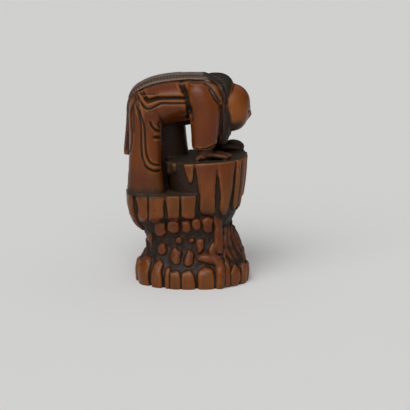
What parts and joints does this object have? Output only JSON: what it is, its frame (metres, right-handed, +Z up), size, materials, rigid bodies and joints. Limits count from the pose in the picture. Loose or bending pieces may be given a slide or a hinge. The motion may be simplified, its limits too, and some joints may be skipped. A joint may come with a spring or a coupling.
{
  "type": "netsuke",
  "caption": "Netsuke carved from one piece of stained boxwood: a robed figure leans forward, feet on a low ledge of a flared rock and hands on a higher one.",
  "frame": {"origin": "on the flat underside, below the middle of the carving's length", "axes": "+Z up; +X from the figure's heels to its face; the figure's right side faces -Y"},
  "size_m": [0.0299, 0.0214, 0.05],
  "materials": {
    "stained_boxwood": "satin"
  },
  "bodies": {
    "root": {"netsuke": "stained_boxwood"}
  },
  "joints": []
}
